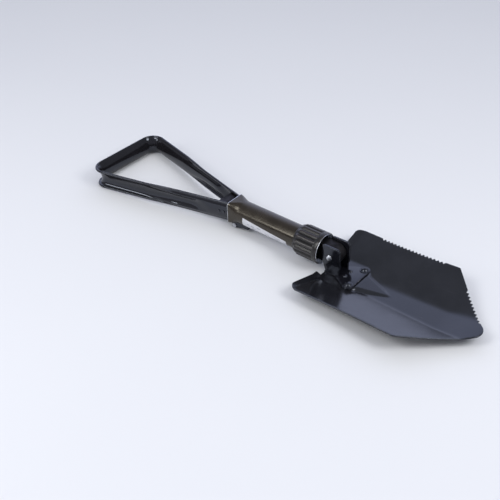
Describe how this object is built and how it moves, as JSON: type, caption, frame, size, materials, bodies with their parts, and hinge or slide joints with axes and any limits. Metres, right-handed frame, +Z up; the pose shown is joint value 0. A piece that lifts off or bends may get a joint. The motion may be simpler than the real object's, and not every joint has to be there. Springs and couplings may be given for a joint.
{
  "type": "folding camp shovel",
  "caption": "Folding camp shovel: triangular channel grip, round tube, screw collar and a pointed, dished blade with saw teeth, all hinged to fold flat.",
  "frame": {"origin": "on the ground under the middle of the open shovel's length and width", "axes": "+X from the grip towards the blade's tip, +Z up, with the shovel lying on its back"},
  "size_m": [0.5909, 0.1548, 0.0485],
  "materials": {
    "black_paint": "gloss black paint",
    "shaft_paint": "semi-gloss brown-black paint",
    "collar_plastic": "satin moulded plastic",
    "bright_steel": "bright zinc",
    "dark_steel": "blackened, oiled",
    "label": "blank coated paper"
  },
  "bodies": {
    "shaft": {"shaft_tube": "shaft_paint", "hinge_saddle": "shaft_paint", "hinge_head": "dark_steel", "head_pins": "dark_steel", "paper_label": "label", "handle_pin": "bright_steel", "handle_pin_washers": "dark_steel"},
    "handle": {"handle_frame": "black_paint", "neck_hinge": "black_paint", "neck_rivets": "black_paint"},
    "thrust": {"thrust_ring": "bright_steel"},
    "collar": {"locking_collar": "collar_plastic", "collar_nut": "dark_steel"},
    "blade": {"blade_plate": "black_paint", "blade_bracket": "black_paint", "main_rivets": "black_paint", "rivet_washers": "black_paint", "small_rivets": "black_paint", "backing_plate": "black_paint", "blade_pin": "bright_steel", "blade_pin_washers": "dark_steel"}
  },
  "joints": [
    {"name": "handle_fold", "type": "hinge", "parent": "shaft", "child": "handle", "pos_m": [-0.0649, 0, 0.00438], "axis": [0, -1, 0], "range_deg": [0, 176]},
    {"name": "collar_travel", "type": "slide", "parent": "shaft", "child": "thrust", "axis": [-0.9993, 0, -0.0361], "range_m": [0, 0.01]},
    {"name": "collar_turn", "type": "hinge", "parent": "thrust", "child": "collar", "pos_m": [0.05687, 0, 0.02688], "axis": [-0.9993, 0, -0.0361], "range_deg": [0, 720]},
    {"name": "blade_fold", "type": "hinge", "parent": "shaft", "child": "blade", "pos_m": [0.09084, 0, 0.02811], "axis": [0, -1, 0], "range_deg": [0, 180]}
  ],
  "couplings": [
    {"joint": "collar_travel", "follows": "collar_turn", "m_per_rad": 0.00079577}
  ]
}
